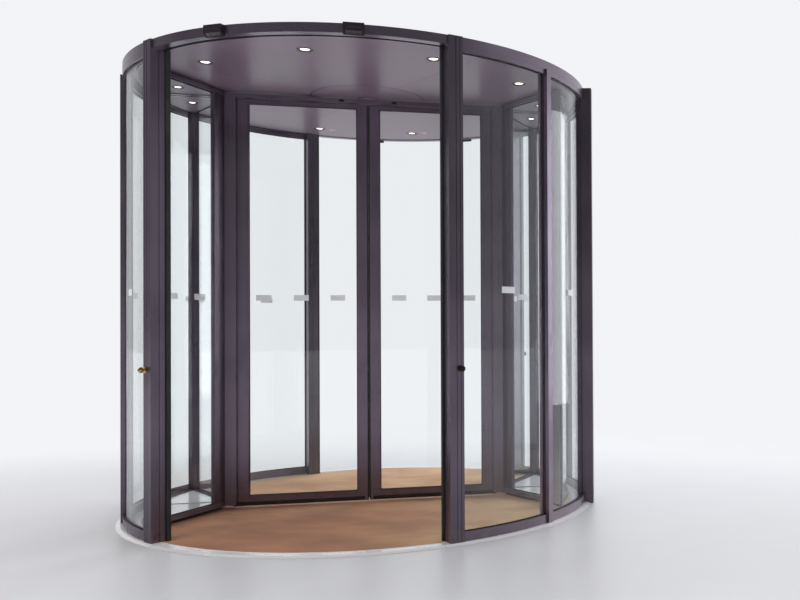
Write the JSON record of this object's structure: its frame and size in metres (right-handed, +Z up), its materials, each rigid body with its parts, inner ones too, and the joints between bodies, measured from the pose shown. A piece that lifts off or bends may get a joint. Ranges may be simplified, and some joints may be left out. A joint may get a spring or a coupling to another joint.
{
  "type": "two-wing revolving door",
  "caption": "Glazed drum revolving door with a rotor of wing showcases joined by a centre wall of sliding leaves, coir mat, steel floor ring and canopy.",
  "frame": {"origin": "centre of the drum on the floor", "axes": "+Z up along the rotor's axis, -Y towards the lobby, +X to the right seen from the lobby"},
  "size_m": [3.644, 3.5996, 3.476],
  "materials": {
    "bronze_metal": "satin dark bronze coating on extruded profiles",
    "clear_glass": "clear curved and flat safety glass",
    "coir_mat": "woven coir pile",
    "stainless_ring": "brushed stainless",
    "soffit_paint": "satin grey-mauve paint",
    "head_paint": "satin grey-mauve paint",
    "showcase_paint": "satin light grey paint",
    "downlight_trim": "satin trim with a frosted lens",
    "brush_pile": "black nylon brush",
    "black_rubber": "matt black rubber",
    "sensor_plastic": "matt black plastic",
    "brass_knob": "turned brass"
  },
  "bodies": {
    "drum": {"floor_ring": "stainless_ring", "floor_mat": "coir_mat", "inner_left_post": "bronze_metal", "inner_right_post": "bronze_metal", "outer_left_post": "bronze_metal", "outer_right_post": "bronze_metal", "left_jamb_post": "bronze_metal", "right_jamb_post": "bronze_metal", "left_mullions": "bronze_metal", "right_mullions": "bronze_metal", "left_wall_bottom_rail": "bronze_metal", "right_wall_bottom_rail": "bronze_metal", "left_wall_top_rail": "bronze_metal", "right_wall_top_rail": "bronze_metal", "left_wall_glass": "clear_glass", "right_wall_glass": "clear_glass", "inner_fascia": "bronze_metal", "outer_fascia": "bronze_metal", "left_fascia": "bronze_metal", "right_fascia": "bronze_metal", "canopy_soffit": "soffit_paint", "canopy_roof": "head_paint", "canopy_downlights": "downlight_trim", "motion_sensors": "sensor_plastic", "drive_unit": "head_paint", "safety_edges": "black_rubber", "lock_knobs": "brass_knob"},
    "rotor": {"rotor_head": "head_paint", "track_beam": "bronze_metal", "left_showcase_posts": "bronze_metal", "right_showcase_posts": "bronze_metal", "left_showcase_rails": "bronze_metal", "right_showcase_rails": "bronze_metal", "left_showcase_glass": "clear_glass", "right_showcase_glass": "clear_glass", "left_showcase_plates": "showcase_paint", "right_showcase_plates": "showcase_paint", "showcase_downlights": "downlight_trim", "rotor_brushes": "brush_pile"},
    "left_leaf": {"left_leaf_frame": "bronze_metal", "left_leaf_glass": "clear_glass", "left_leaf_brush": "brush_pile"},
    "right_leaf": {"right_leaf_frame": "bronze_metal", "right_leaf_glass": "clear_glass", "right_leaf_brush": "brush_pile"}
  },
  "joints": [
    {"name": "rotor_turn", "type": "hinge", "parent": "drum", "child": "rotor", "pos_m": [0, 0, 0], "axis": [0, 0, 1], "continuous": true},
    {"name": "left_leaf_slide", "type": "slide", "parent": "rotor", "child": "left_leaf", "axis": [-0.9636, -0.2672, 0], "range_m": [0, 0.53]},
    {"name": "right_leaf_slide", "type": "slide", "parent": "rotor", "child": "right_leaf", "axis": [0.9636, 0.2672, 0], "range_m": [0, 0.53]}
  ],
  "couplings": [
    {"joint": "right_leaf_slide", "follows": "left_leaf_slide", "ratio": 1}
  ]
}
